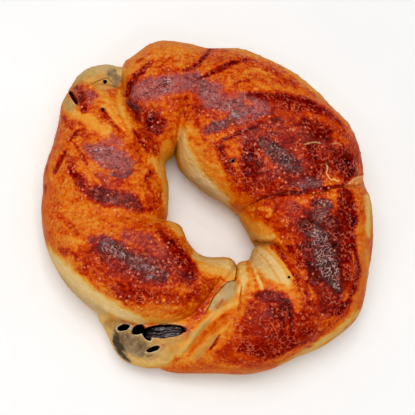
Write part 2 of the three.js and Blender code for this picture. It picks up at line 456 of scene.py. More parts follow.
# The filling swells up below the long slit.
SWELL = ((-14, -47.2, 15.6), (9, 4.2, 5.2), 4)
GAP = 0.3
CHANNEL_RINGS, CHANNEL_SIDES = 120, 16
SLIT_RAGGED, SLIT_RAGGED_SIZE, SLIT_SEED = 0.12, 2.2, 50
SLIT_DETAIL, ROOM_DETAIL = 5, 4
# The face that the roll was baked on: height and size of its unevenness in mm, and seed.
TRAY_MARKS = (0.12, 5, 40)
BLOCK_HALF, BLOCK_DEPTH, BLOCK_CELLS = 66.0, 12, 110
MOST_TRIANGLES = 190000


def ellipsoid(name, centre, half, turn, detail, ragged, seed):
    """A ball stretched to half sizes, with an uneven surface."""
    bpy.ops.mesh.primitive_ico_sphere_add(subdivisions=detail, radius=1)
    piece = bpy.context.object
    piece.name = name
    ball = vectors(piece.data.vertices, "co")
    wobble = 1 + ragged * rough_noise(ball * np.array(half), SLIT_RAGGED_SIZE, seed)
    c, s = cos(radians(turn)), sin(radians(turn))
    spin = np.array([[c, -s, 0], [s, c, 0], [0, 0, 1]])
    points = (ball * wobble[:, None] * np.array(half)) @ spin.T + np.array(centre)
    piece.data.vertices.foreach_set("co", (points * MM).ravel())
    return piece


def ribbon_grid(extra, rings, sides):
    """The filling's closed ring, midway between the hole and the outer edge of the strands."""
    on_long = [middle_at(LONG_STRAND, n) for n in RIBBON_LONG]
    on_short = [middle_at(SHORT_STRAND, n) for n in RIBBON_SHORT]
    knots = np.array(on_long + on_short)
    knots[:, 2] = RIBBON_HEIGHT
    count = len(knots)
    place = np.arange(rings) / rings * count
    i = np.floor(place).astype(int)
    middle = smooth_curve(*(knots[(i + k - 1) % count] for k in range(4)), (place - i)[:, None])
    along = np.roll(middle, -1, axis=0) - np.roll(middle, 1, axis=0)
    outward = np.stack([-along[:, 1], along[:, 0], np.zeros(rings)], axis=1)
    outward /= norm(outward, axis=1, keepdims=True)
    turn = np.arange(sides) / sides * 2 * pi
    flat = outward[:, None, :] * (np.cos(turn) * (RIBBON_HALF_WIDTH + extra))[None, :, None]
    grid = middle[:, None, :] + flat
    grid[..., 2] += np.sin(turn) * (RIBBON_HALF_HEIGHT + extra)
    return grid


def loop_faces(rings, sides):
    """Quads of a tube that closes on itself."""
    i, k = np.meshgrid(np.arange(rings), np.arange(sides), indexing="ij")
    a, b = i * sides + k, i * sides + (k + 1) % sides
    c, d = (i + 1) % rings * sides + k, (i + 1) % rings * sides + (k + 1) % sides
    return np.stack([a, b, d, c], axis=-1).reshape(-1, 4).tolist()


def combine(base, others, operation):
    """Joins other objects to base, or cuts them out of it, and removes them."""
    for other in others:
        change = base.modifiers.new("combine", "BOOLEAN")
        change.object = other
        change.operation = operation
        change.solver = "MANIFOLD"
        bake_modifiers(base)
        bpy.data.objects.remove(other)


def bake_modifiers(piece):
    """Puts what the modifiers make into the mesh itself."""
    graph = bpy.context.evaluated_depsgraph_get()
    mesh = bpy.data.meshes.new_from_object(piece.evaluated_get(graph))
    piece.modifiers.clear()
    piece.data = mesh


def underside_block():
    """A block whose top is the uneven face that the roll was baked on."""
    cells = BLOCK_CELLS
    line = np.linspace(-BLOCK_HALF, BLOCK_HALF, cells + 1)
    top = np.stack(np.meshgrid(line, line, [0.0], indexing="ij"), axis=-1).reshape(-1, 3)
    height, mark_size, seed = TRAY_MARKS
    top[:, 2] = height + height * rough_noise(top, mark_size, seed)
    np.clip(top[:, 2], 0, None, out=top[:, 2])
    low = top.copy()
    low[:, 2] = -BLOCK_DEPTH
    size = cells + 1
    a = (np.arange(cells)[:, None] * size + np.arange(cells)).ravel()
    upper = np.stack([a, a + size, a + size + 1, a + 1], axis=1)
    lower = upper[:, ::-1] + size * size
    walls = []
    for first, step, way in ((0, 1, 1), (cells, size, 1), (cells * size, 1, -1), (0, size, -1)):
        start = first + np.arange(cells) * step
        end = start + step
        wall = np.stack([start, end, end + size * size, start + size * size], axis=1)
        walls.append(wall[:, ::way])
    faces = np.vstack([upper, lower, *walls]).tolist()
    return mesh_object("underside", np.vstack([top, low]), faces)


def make_dough():
    dough = strand_object("dough_crust", LONG_STRAND)
    others = [strand_object("short_strand", SHORT_STRAND), strand_object("knob", KNOB)]
    combine(dough, others, "UNION")
    grid = ribbon_grid(GAP, CHANNEL_RINGS, CHANNEL_SIDES)
    faces = loop_faces(CHANNEL_RINGS, CHANNEL_SIDES)
    channel = mesh_object("channel", grid.reshape(-1, 3), faces)
    cuts = [underside_block(), channel]
    centre, half, turn = SWELL
    cuts.append(ellipsoid("swell_room", centre, [h + GAP for h in half], turn, ROOM_DETAIL, 0, 0))
    for n, slit in enumerate(SLITS):
        cuts.append(ellipsoid(f"slit_{n}", *slit, SLIT_DETAIL, SLIT_RAGGED, SLIT_SEED + n))
    combine(dough, cuts, "DIFFERENCE")
    triangles = sum(len(p.vertices) - 2 for p in dough.data.polygons)
    fewer = dough.modifiers.new("fewer", "DECIMATE")
    fewer.ratio = min(1.0, MOST_TRIANGLES / triangles)
    bake_modifiers(dough)
    dough.data.shade_smooth()
    return dough


# ---- browning

# Strokes laid over one another. Bake runs from 0, pale dough, to 100, nearly black, and the painted
# sheen, a greyish plum reflection painted on the glaze, from 0 to 100. A row is a stroke's bake, its
# painted sheen where it has one, then its points as x,y,radius in the photograph's pixels.
# painted light: paler, to lift the shade on the wall beside the hole, which faces away from the lamps
# painted light: paler, to lift the shade on this wall of the hole, which faces away from the lamps
STROKES = table("""
# upper left lobe
36 122,78,4 120,95,5 122,112,6 131,127,5
35 126,72,5 140,56,8 165,47,8 200,44,8
46 150,64,4 165,62,5 185,60,5
70,100 131,95,5 141,91,9 155,87,10 171,84,9 185,82,9 194,80,9
74,6 132,106,5 143,114,9 155,119,10 151,129,8 162,124,7
84,50 130,101,3 136,109,3.5
80 148,118,4 156,126,6 164,119,3.5
57 170,101,5 179,103,5
46 166,117,3 176,116,3
62 140,130,3 149,140,5 156,149,4 161,158,2
76 128,96,2 130,86,3 136,77,3.5 143,69,2.5 153,61,1.2
60 137,62,1.4 149,54,1
60 160,66,1 170,58,1
60 156,76,1 166,68,1
66 160,74,1 172,71,1.4 184,70,1
22 119,92,1.6 120,105,2.4 124,117,2.4 131,128,1.6
48 170,126,5 168,138,6
28 167,146,6 163,160,6
20 160,168,3 164,158,2
# top lobe
47 215,60,12 250,70,14 280,80,12 300,86,6
28 215,45,2 236,49,2.6 258,56,2
22 262,56,1.5 280,64,2 296,74,2.6 312,90,2
70,10 200,108,6 235,105,10 255,125,22 290,135,30 310,150,30 300,175,18 270,185,22
74,100 203,84,7 212,92,11 214,102,8
72,90 222,102,7 236,107,11 252,107,13 262,108,9
77 250,95,3 275,98,6 300,104,9 322,115,8 342,131,5
60 203,114,4 216,113,4
82,40 206,131,4.5 212,128,5 222,125,5 236,118,5 242,116,4
50,30 248,102,3 251,104,3
50 250,117,2 251,119,2
62,10 275,112,5 300,118,6 290,124,8
56 225,132,2 250,124,2 275,115,2 295,111,1.5
82 222,140,1.6 245,131,1.6 262,124,1.4
50 304,112,2 318,118,3.5 334,125,4 342,132,4
64 318,122,5 338,134,8 350,148,8 355,162,5
72 344,148,5 352,160,5 354,172,4
56 336,134,3 346,142,4 354,152,3
80 304,122,5 325,133,7 318,136,6
88,20 264,142,6 280,156,9 296,168,8
88,50 297,184,4 308,184,7 318,183,5
82 338,158,9 348,166,9 346,175,6
76 308,150,8 322,162,9 316,172,7
78 250,150,10 252,165,12 248,180,8
76 216,157,4 223,164,6 230,174,5 238,187,4
68 246,186,5 262,188,5 280,184,4
54 214,150,8 222,165,8 230,180,6 234,196,5
70 220,148,4 226,162,5 232,172,4
32 188,132,8 200,155,13 216,178,11 226,196,8
10 180,134,5 182,152,9 191,170,9
4 193,178,9 208,191,10 224,204,7
44 190,138,2 202,146,4 213,158,4
60 196,120,3 200,130,3 205,140,3
82 212,47,1.2 207,54,1.5 200,62,2.6 193,68,2.4 184,71,1
78 194,81,1 205,76,2.2 218,70,3 226,66,3 235,63,1.8 246,60,1.2 253,60,0.8
70 233,86,0.8 240,81,1.4 250,80,1
62 258,69,1 270,71,1
58 274,80,1 287,84,1.2
30 244,73,1 256,69,1.2 266,74,1.4
32 282,77,1.4 293,85,1.6
80 222,95,1.2 225,94,1
60 266,67,1.6 276,73,2 290,83,2.6 298,87,2
26 300,78,1.4 318,93,1.8 331,105,2 342,117,1.6 351,130,1.2
38 252,90,0.8 276,88.5,0.8 300,93,1 320,101,1.2 334,110,1.2 344,122,1.2
74 186,97,1.2 186,105,1.4 184,117,1.2
44 177,131,1.4 174,148,1.4
95,30 232,161,2.2 233,160,2.2
40 350,183,1 357,179,1.6 366,176,1.4
84 280,196,1.6 300,192,2.4 326,188,2 345,184,1.6
52 240,211,1 262,201,1.2 289,197,1.4 310,198,1.4 330,192,1
# right lobe
68,3 285,215,14 310,235,18 325,255,22 320,285,18 315,305,14 340,275,14
28 240,220,7 250,232,9 266,229,8
18 248,235,4 260,239,3 274,236,2
61 262,212,6 280,220,10 288,232,9
34 260,208,2 272,211,2 268,216,1.6
56 268,203,3 285,204,4
66,10 292,206,7 302,215,8 294,222,5
86,5 320,205,10 312,228,14 312,250,12 325,275,16 335,255,12 332,225,12
90,30 326,205,7 319,216,5
94,20 317,234,6 322,252,9 330,270,10 336,287,6
80 345,196,8 351,212,7 354,225,4
77,5 325,292,9 326,310,7 336,305,7
79 342,200,5 346,225,6 347,252,6 346,278,5
40 361,222,3 361,245,4 366,262,4 364,285,4 357,303,4 344,322,5 325,336,3
26 366,250,1.5 369,270,1.5 366,292,1.5
10 367,196,3 369,214,3 368,236,2
80 352,226,1.6 355,250,1.8 358,268,2.6 355,285,3 348,303,3 338,315,2.5
58 347,310,2 335,322,3 322,332,4
59 275,248,5 290,262,9 300,280,7
70 286,244,3 298,256,4 300,266,3
44 308,286,2.4 316,298,2.6
66 280,256,1.4 292,272,1.6 300,290,1.6
34 280,250,0.8 296,262,0.8
# bottom lobe with its pale fan
66,3 262,318,16 280,330,22 300,335,16 250,342,14
75,5 288,310,9 290,335,9 270,345,9
66 300,315,8 310,330,10 305,345,6
65 240,340,11 262,350,10 285,352,8
38 246,300,5 252,292,6 262,288,5
74 240,346,8 262,352,9 285,350,9 303,336,9
74,4 258,296,4 266,296,6 280,297,7 286,304,5
62 252,303,4 247,315,5 241,330,6 231,347,6
80 270,308,4 284,318,7 286,332,6
52 277,306,0.6 278,335,0.6
50 296,306,0.6 297,335,0.6
42 289,288,3 295,300,4 298,308,3
84 288,300,0.9 291,320,1 292,345,0.9
80 283,308,0.7 284,335,0.7
50 286,312,0.7 288,335,0.7
78 263,344,0.7 256,356,0.7
78 271,343,0.7 263,357,0.7
7 252,248,7 262,258,12 275,272,12 284,283,7
10 241,265,5 245,280,5 240,292,4
26 250,276,2 252,286,2.6
34 268,280,1.2 276,284,1.4 284,286,2
22 256,250,0.6 268,262,0.8 280,282,0.8
26 262,246,0.8 276,258,0.9 292,280,1
24 250,268,0.8 252,282,1 254,292,0.8
8 251,260,1.2 257,275,2.2 262,288,1.4
8 262,252,0.6 272,262,0.8 282,275,0.6
10 258,257,0.6 265,267,0.7 271,277,0.5
12 268,248,0.6 282,262,0.8 294,280,0.7
40 243,304,3 238,318,4 226,336,4 207,357,4
60 216,352,4 225,356,6 250,362,5 272,362,4
44 262,366,3 280,360,3 296,351,3 310,344,2
16 283,366,3 296,358,3 308,350,2
12 280,369,2 300,360,3 316,346,3.5 340,330,3 358,312,3
# folds below the hole
27 232,300,6 215,316,8 197,335,8 186,355,7
15 236,303,2 222,309,2.6 207,322,3.4 193,336,4.4 180,353,5
48 231,311,1.4 217,321,2.2 205,332,2.2 194,347,2.2 188,356,1.6
24 232,321,1.6 218,334,3 205,346,3.6 193,358,3.4
40 239,306,1.6 233,322,2 223,339,2 211,353,1.6
85 220,335,0.5 215,343,0.8 210,350,0.5
5 232,283,5 227,291,7.5 219,300,6 212,308,4
46 223,300,0.9 217,307,1.6
50 242,286,0.7 240,296,0.8 240,303,0.7
# lower left lobe
42 55,220,14 62,240,12 85,232,8
40 70,215,10 100,216,10 125,222,8
44 56,248,4 66,254,7 80,264,7 92,280,6
60,3 100,262,18 125,270,24 155,275,24 180,268,14
76,10 100,250,8 125,262,14 150,268,18 175,262,14 190,278,8
80,30 92,241,4 106,240,5 118,247,6
88,30 104,248,5 120,252,7 135,262,7 150,270,8 162,276,6
62,30 126,236,6 148,240,8 162,252,7
78 160,232,4 172,245,6 182,258,7 190,270,5
56 136,224,3 158,225,3
56 172,236,1.4 180,246,1.4
9 196,256,4 212,261,6 228,265,6 234,274,4
20 202,266,3 216,271,5 230,276,5
34 206,275,2 220,281,2
54 202,286,6 213,284,5 206,296,6 196,310,6
64 193,286,4 197,298,4
67 120,290,8 145,296,7 165,299,7 186,300,6
44 150,306,3 170,309,5 185,312,5 194,306,4
33 146,312,3 160,316,5 180,321,4
12 124,316,4 138,320,4 148,322,2.5
26 150,319,3 168,323,3 184,324,2.5
56 194,318,1.4 203,311,1.4
30 163,299,1.2 164,300,1.2
28 175,307,1.3 176,308,1.3
32 168,309,1 169,309,1
7 46,250,5 60,268,8 78,288,10 100,303,10 122,313,7 136,318,3
56 57,215,2.4 66,221,2.6 76,232,2.4
62 60,249,2 72,254,2.6 80,260,2
30 60,237,2 72,239,2.4 84,243,2
# upper left strand
42 56,185,12 62,160,10 75,140,10 90,130,8
42 80,178,10 90,205,12 120,216,8
70 69,158,2.4 73,172,4.5 84,187,6.5 98,197,7 112,201,7
76,10 78,182,2.4 90,194,3 106,203,3
82,15 98,190,5 112,195,7 128,200,9 140,208,5
60,10 96,176,5 110,184,5 118,182,5
38 86,174,2 98,182,2
72,100 88,148,5 100,152,9 112,158,12 124,165,9
86,50 112,174,2 122,177,2.4 131,172,2
52,50 108,135,4 116,144,6
50 84,138,4 96,138,5
52 134,150,5 141,161,4
60 146,184,4 151,196,6 149,208,5 157,196,5
40 132,180,4 142,172,4 147,192,3
76 150,173,2.4 146,179,2
20 152,160,3 161,172,3.5 166,190,3.5 168,210,3.5 172,222,4 180,234,3
45 110,220,6 135,222,5 158,218,4
76 55,172,2.4 60,162,2.4 66,151,1.4
72 70,141,1.6 75,134,2 81,127,1.4
76 73,142,0.8 80,152,1.2 87,165,0.8
58 64,178,1 60,190,1
62 47,166,1 46,172,1
64 45,186,1.2 45,194,1.2
# top of the upper left strand
26 70,113,4 84,116,5 96,124,6 106,131,5
30 100,92,5 108,105,7 116,120,6
60 64,118,2 69,123,3.4 71,128,2
54 80,126,3 86,134,4
77 76,88,2.6 82,96,5.2 84,108,4
66,45 89,92,3.6 95,95,3 91,100,3.6
58 98,101,1 104,103,1
66 102,110,1.6 108,118,2 115,126,2 120,131,1.2
20 108,108,1 116,122,1.2 125,130,1
70 133,129,1.2 140,140,1.6 148,152,1.4
8 66,82,7 82,70,8 100,67,8 117,71,7
16 88,80,5 100,82,5 112,82,5
16 64,98,4 69,106,6 75,112,3
22 100,85,3 112,85,4
# corner with the openings
12 100,314,5 106,330,7 118,348,8 140,362,8 165,356,9 178,344,7
10 98,311,4 106,320,5 118,325,4
18 112,322,5 128,330,6 146,340,6 170,341,5 184,336,4
21 172,350,4 184,342,4
30 106,322,1.4 113,320,1.2
""")
# Grey, see-through dough: amount in hundredths, then points.
MEMBRANE = table("""
40 70,82,7 86,71,8 110,72,8
35 96,86,3 106,88,4 112,84,4
100 112,73,4 117,79,4 115,86,2
45 65,99,4 70,107,5
55 108,324,4 122,326,7 136,334,8 150,343,6 162,346,5
40 160,343,5 176,341,5 190,334,4
105 119,335,5 129,343,11 141,350,8
130 115,330,1.6 116,341,4 121,352,3.4 129,361,2
50 150,356,5 158,352,5
25 165,356,5 175,348,4
50 234,285,5 227,292,8 219,301,6 213,309,3
0 240,286,1.6 239,298,2 230,308,1.6
30 206,322,2 192,338,3
30 216,336,2 205,347,3 196,357,3
35 256,243,3 272,243,2
10 250,252,7 262,266,10 270,275,8
10 200,259,3 214,263,4 230,267,4
25 196,182,5 212,196,4
30 60,276,3 80,298,4 105,312,3
""")
# Where the crust is smooth: how smooth, in hundredths, then points.
CALM = table("""
80 228,350,8 250,350,12 275,345,14 298,330,12
60 245,250,8 258,262,12 275,275,12
60 236,305,6 210,330,10 185,352,8
60 205,330,5 215,352,8
50 200,262,6 228,270,8
70 250,94,3 275,96,4 300,101,6 322,112,5 340,126,4
70 362,215,4 364,250,6 362,290,5 345,322,6 310,350,5
70 243,222,6 254,234,8 268,232,6
60 186,322,5 196,310,5
60 130,318,4 160,321,4 182,323,3
50 245,336,12 268,318,16 290,312,14
50 342,200,4 346,225,5 347,252,5 346,278,4
""")


def stroke_distance(pixels, points):
    """Signed distance in pixels to a line whose radius changes from point to point."""
    best = np.full(len(pixels), np.inf)
    for start, end in zip(points, points[1:]):
        t, _, away = from_segment(pixels, start[:2], end[:2])
        radius = start[2] + t * (end[2] - start[2])
        best = np.minimum(best, norm(away, axis=1) - radius)
    return best


def painted(pixels, warp, fine_warp, points, softness):
    """How much of a stroke covers each point, with a ragged edge."""
    size = sum(p[2] for p in points) / len(points)
    edge = 0.8 + softness * size
    ragged = warp * min(1, size / 8) + fine_warp * min(1, size / 3)
    return ease(edge, -edge, stroke_distance(pixels, points) + ragged)


def slit_distance(points, slit):
    """Distance in mm, seen from above, to an opening's outline; below 0 inside."""
    (cx, cy, _), (hx, hy, _), turn = slit
    angle = radians(turn)
    x, y = points[:, 0] - cx, points[:, 1] - cy
    u = x * cos(angle) + y * sin(angle)
    v = y * cos(angle) - x * sin(angle)
    return (np.hypot(u / hx, v / hy) - 1) * min(hx, hy)


FAR = 3.0
# What makes the strokes' edges ragged: pixels, size in mm and seed.
WARP, FINE_WARP = (2.0, 5, 60), (1.5, 1.6, 70)
EDGE_SOFT, CALM_SOFT = 0.4, 1.0
BARE_BAKE = 0.45
STREAKS = (0.07, 2.2, 95)
MOTTLE_SIZE, MOTTLE_SEED = 9, 80
FOOT_BAKE, WALL_BAKE, OUTER_BAKE = 0.12, 0.08, 0.14
UNDER_BAKE, UNDER_MOTTLE = 0.36, 0.16


def browning(points, normals):
    """Bake, painted sheen, membrane and calm of the crust for points in mm."""
    pixels = photo_pixels(points)
    warp, fine_warp = (push * rough_noise(points, size, seed) for push, size, seed in (WARP, FINE_WARP))
    bake = np.full(len(points), BARE_BAKE)
    painted_sheen = np.zeros(len(points))
    grey = np.zeros(len(points))
    calm = np.zeros(len(points))
    for (stroke_bake, *stroke_sheen), *line in STROKES:
        cover = painted(pixels, warp, fine_warp, line, EDGE_SOFT)
        bake += (stroke_bake / 100 - bake) * cover
        painted_sheen += (sum(stroke_sheen) / 100 - painted_sheen) * cover
    for (amount,), *line in MEMBRANE:
        cover = painted(pixels, warp * 0.5, fine_warp, line, EDGE_SOFT)
        grey += (amount / 100 - grey) * cover
    for (amount,), *line in CALM:
        cover = painted(pixels, warp, fine_warp, line, CALM_SOFT)
        calm += (amount / 100 - calm) * cover
    strength, size, seed = STREAKS
    streaks = rough_noise(points * np.array([0.5, 1.0, 1.0]), size, seed)
    bake += strength * streaks * ease(0.2, 0.5, bake)

    # What the photograph doesn't show is paler towards the foot, and mottled where it lay on the tray.
    mottle = rough_noise(points, MOTTLE_SIZE, MOTTLE_SEED)
    outer = ease(22, 32, np.hypot(points[:, 0], points[:, 1]))
    rise = ease(8, 26, points[:, 2] + 5 * mottle)
    wall = FOOT_BAKE + (WALL_BAKE + OUTER_BAKE * outer) * rise
    under = UNDER_BAKE + UNDER_MOTTLE * mottle
    wall = wall + (under - wall) * ease(-0.5, -0.85, normals[:, 2])
    facing = normals @ TOWARDS_CAMERA
    seen = ease(0.0, 0.36, facing) * ease(2, 7, points[:, 2])
    bake = wall + (bake - wall) * seen
    painted_sheen *= seen
    grey *= ease(-0.05, 0.15, facing) * ease(2, 7, points[:, 2])

    bake, painted_sheen, grey = np.clip(bake, 0, 1), np.clip(painted_sheen, 0, 1), np.clip(grey, 0, 1.3)
    return {"bake": bake, "painted_sheen": painted_sheen, "grey": grey, "calm": calm}


def edge_maps(points, normals):
    """Distances in mm to the nearest opening and crack, how strong the crack is, and the glaze.

    The strength is below 0 for a split."""
    opening = np.full(len(points), FAR)
    for slit in SLITS:
        below = np.maximum(0, slit[0][2] - 7 - points[:, 2])
        opening = np.minimum(opening, slit_distance(points, slit) + below)
    pixels = photo_pixels(points)
    facing = ease(0.05, 0.35, normals @ TOWARDS_CAMERA) * (points[:, 2] > 8)
    for x, y, radius in PITS:
        away = np.hypot(pixels[:, 0] - x, pixels[:, 1] - y) * PIXEL_MM - 0.9 * radius
        away = np.where(away > 0, 3 * away, away)
        opening = np.where(facing > 0, np.minimum(opening, away), opening)
    crack = np.full(len(points), FAR)
    strength = np.zeros(len(points))
    for kind, (size, _), *line in FOLDS:
        if kind not in ("crack", "split"):
            continue
        distance, along, side = polyline_distance(pixels, line)
        distance *= PIXEL_MM
        nearer = distance < np.abs(crack)
        crack = np.where(nearer, distance * np.where(side < 0, -1, 1), crack)
        fade = ease(0, 0.12, along) * ease(1, 0.88, along)
        fade *= ease(1.3, 0.9, distance)
        sign = 1 if kind == "crack" else -1
        strength = np.where(nearer, sign * fade * facing * min(1, size / 0.7), strength)
    opening = np.clip(opening, -FAR, FAR)
    glaze = ease(0.4, 0.8, normals[:, 2])
    return {"opening": opening, "crack": crack, "crack_strength": strength, "glaze": glaze}


def paint_dough(dough):
    """Stores what the crust's material reads, as numbers on the mesh's points."""
    mesh = dough.data
    points, normals = vectors(mesh.vertices, "co") / MM, vectors(mesh.vertex_normals, "vector")
    for name, values in {**browning(points, normals), **edge_maps(points, normals)}.items():
        layer = mesh.attributes.new(name, "FLOAT", "POINT")
        layer.data.foreach_set("value", values.astype(np.float32))


# ---- materials


def linear(rgb):
    """A colour given as 0 to 255 sRGB, as linear RGBA."""
    parts = [c / 255 for c in rgb]
    return (*[c / 12.92 if c <= 0.04045 else ((c + 0.055) / 1.055) ** 2.4 for c in parts], 1)


class Nodes:
    """Short names for building one material's nodes."""

    def __init__(self, name):
        self.material = bpy.data.materials.new(name)
        self.material.use_nodes = True
        self.tree = self.material.node_tree
        self.shader = self.tree.nodes["Principled BSDF"]
        self.place = self.new("TexCoord").outputs["Object"]

    def link(self, value, socket):
        if isinstance(value, bpy.types.NodeSocket):
            self.tree.links.new(value, socket)
        else:
            socket.default_value = value

    def feed(self, name, value):
        """Links a socket of the shader, or sets it where the value is a plain number."""
        self.link(value, self.shader.inputs[name])

    def new(self, kind, **values):
        """A node of a kind, with links or numbers for the sockets named."""
        node = self.tree.nodes.new("ShaderNode" + kind)
        for name, value in values.items():
            self.link(value, node.inputs[name])
        return node

    def attribute(self, name):
        node = self.new("Attribute")
        node.attribute_name = name
        return node.outputs["Fac"]

    def times(self, a, b):
        return self.math("MULTIPLY", a, b)

    def minus(self, a, b):
        return self.math("SUBTRACT", a, b)

    def scaled(self, value, factor, offset, clamp=False):
        return self.math("MULTIPLY_ADD", value, factor, offset, clamp)

    def lines(self, size, stretch=(1, 1, 1), detail=1.5, roughness=0.5):
        """How far noise of a size in mm is from its middle: 0 along winding lines."""
        return self.math("ABSOLUTE", self.minus(self.noise(size, detail, roughness, stretch), 0.5))

    def math(self, operation, a, b=0.0, c=0.0, clamp=False):
        node = self.new("Math")
        node.operation = operation
        node.use_clamp = clamp
        for value, socket in zip((a, b, c), node.inputs):
            self.link(value, socket)
        return node.outputs[0]

    def noise(self, size, detail=3.0, roughness=0.55, stretch=(1, 1, 1)):
        """Noise from 0 to 1 with features of a size in mm."""
        scaled = self.new("VectorMath")
        scaled.operation = "MULTIPLY"
        self.link(self.place, scaled.inputs[0])
        scaled.inputs[1].default_value = [s / MM / size for s in stretch]
        place = scaled.outputs[0]
        node = self.new("TexNoise", Vector=place, Scale=1.0, Detail=detail, Roughness=roughness)
        return node.outputs["Fac"]

    def cells(self, size, output="Distance"):
        """Cells of a size in mm: the distance to the middle of each, or its random number."""
        return self.new("TexVoronoi", Vector=self.place, Scale=1 / MM / size).outputs[output]

    def steps(self, value, low, high, start=0.0, end=1.0):
        """A soft step from start at low to end at high."""
        node = self.new("MapRange")
        node.interpolation_type = "SMOOTHSTEP"
        for number, socket in zip((value, low, high, start, end), node.inputs):
            self.link(number, socket)
        return node.outputs["Result"]

    def ramp(self, value, stops):
        node = self.new("ValToRGB", Fac=value)
        elements = node.color_ramp.elements
        while len(elements) < len(stops):
            elements.new(0.5)
        for element, (place, colour) in zip(elements, stops):
            element.position = place
            element.color = linear(colour)
        return node.outputs["Color"]

    def mix(self, amount, a, b):
        node = self.new("Mix")
        node.data_type = "RGBA"
        self.link(amount, node.inputs["Factor"])
        for value, socket in zip((a, b), [s for s in node.inputs if s.type == "RGBA"]):
            self.link(value, socket)
        return [s for s in node.outputs if s.type == "RGBA"][0]

    def bump(self, height, millimetres, **below):
        """A normal bent by a height, on top of another bump's normal where one is given."""
        node = self.new("Bump", Strength=1.0, Distance=millimetres * MM, Height=height, **below)
        return node.outputs["Normal"]


CRUST_COLOURS = [
    (0.0, (226, 198, 146)),
    (0.12, (216, 168, 88)),
    (0.24, (220, 142, 50)),
    (0.4, (212, 102, 28)),
    (0.52, (190, 62, 20)),
    (0.64, (154, 34, 16)),
    (0.76, (112, 20, 14)),
    (0.88, (76, 18, 16)),
    (1.0, (30, 9, 8)),
]
# The colour of the painted sheen, a reflection on the glaze.
SHEEN_COLOUR = (176, 110, 106)
# Painted glints on the flecks and on the tops of bubbles.
GLINT_COLOUR = (226, 150, 122)
BUBBLE_GLINT_COLOUR = (250, 172, 122)
CRACK_COLOUR = (46, 16, 8)
# Painted glints in a fine net on the darkest crust.
GLINT_NET_COLOUR = (200, 176, 166)
SPLIT_COLOUR = (240, 190, 124)
MEMBRANE_COLOUR = (98, 78, 56)
VEIN_COLOUR = (160, 136, 102)
DEEP_MEMBRANE_COLOUR = (52, 46, 38)
LIP_COLOUR = (212, 194, 160)
# Painted shade inside the openings and pits.
OPENING_SHADE_COLOUR = (13, 11, 14)
BUBBLE_SIZE = 1.7
SPECULAR_LEVEL = 0.03
GLAZE_ROUGHNESS = 0.09
CHOCOLATE_COLOURS = [(0.35, (26, 23, 28)), (0.65, (72, 62, 66))]
CHOCOLATE_COAT, CHOCOLATE_COAT_ROUGHNESS = 0.9, 0.12
FLOOR_COLOURS = [(0.3, (243, 243, 243)), (0.7, (247, 247, 247))]
FLOOR_ROUGHNESS = 0.9


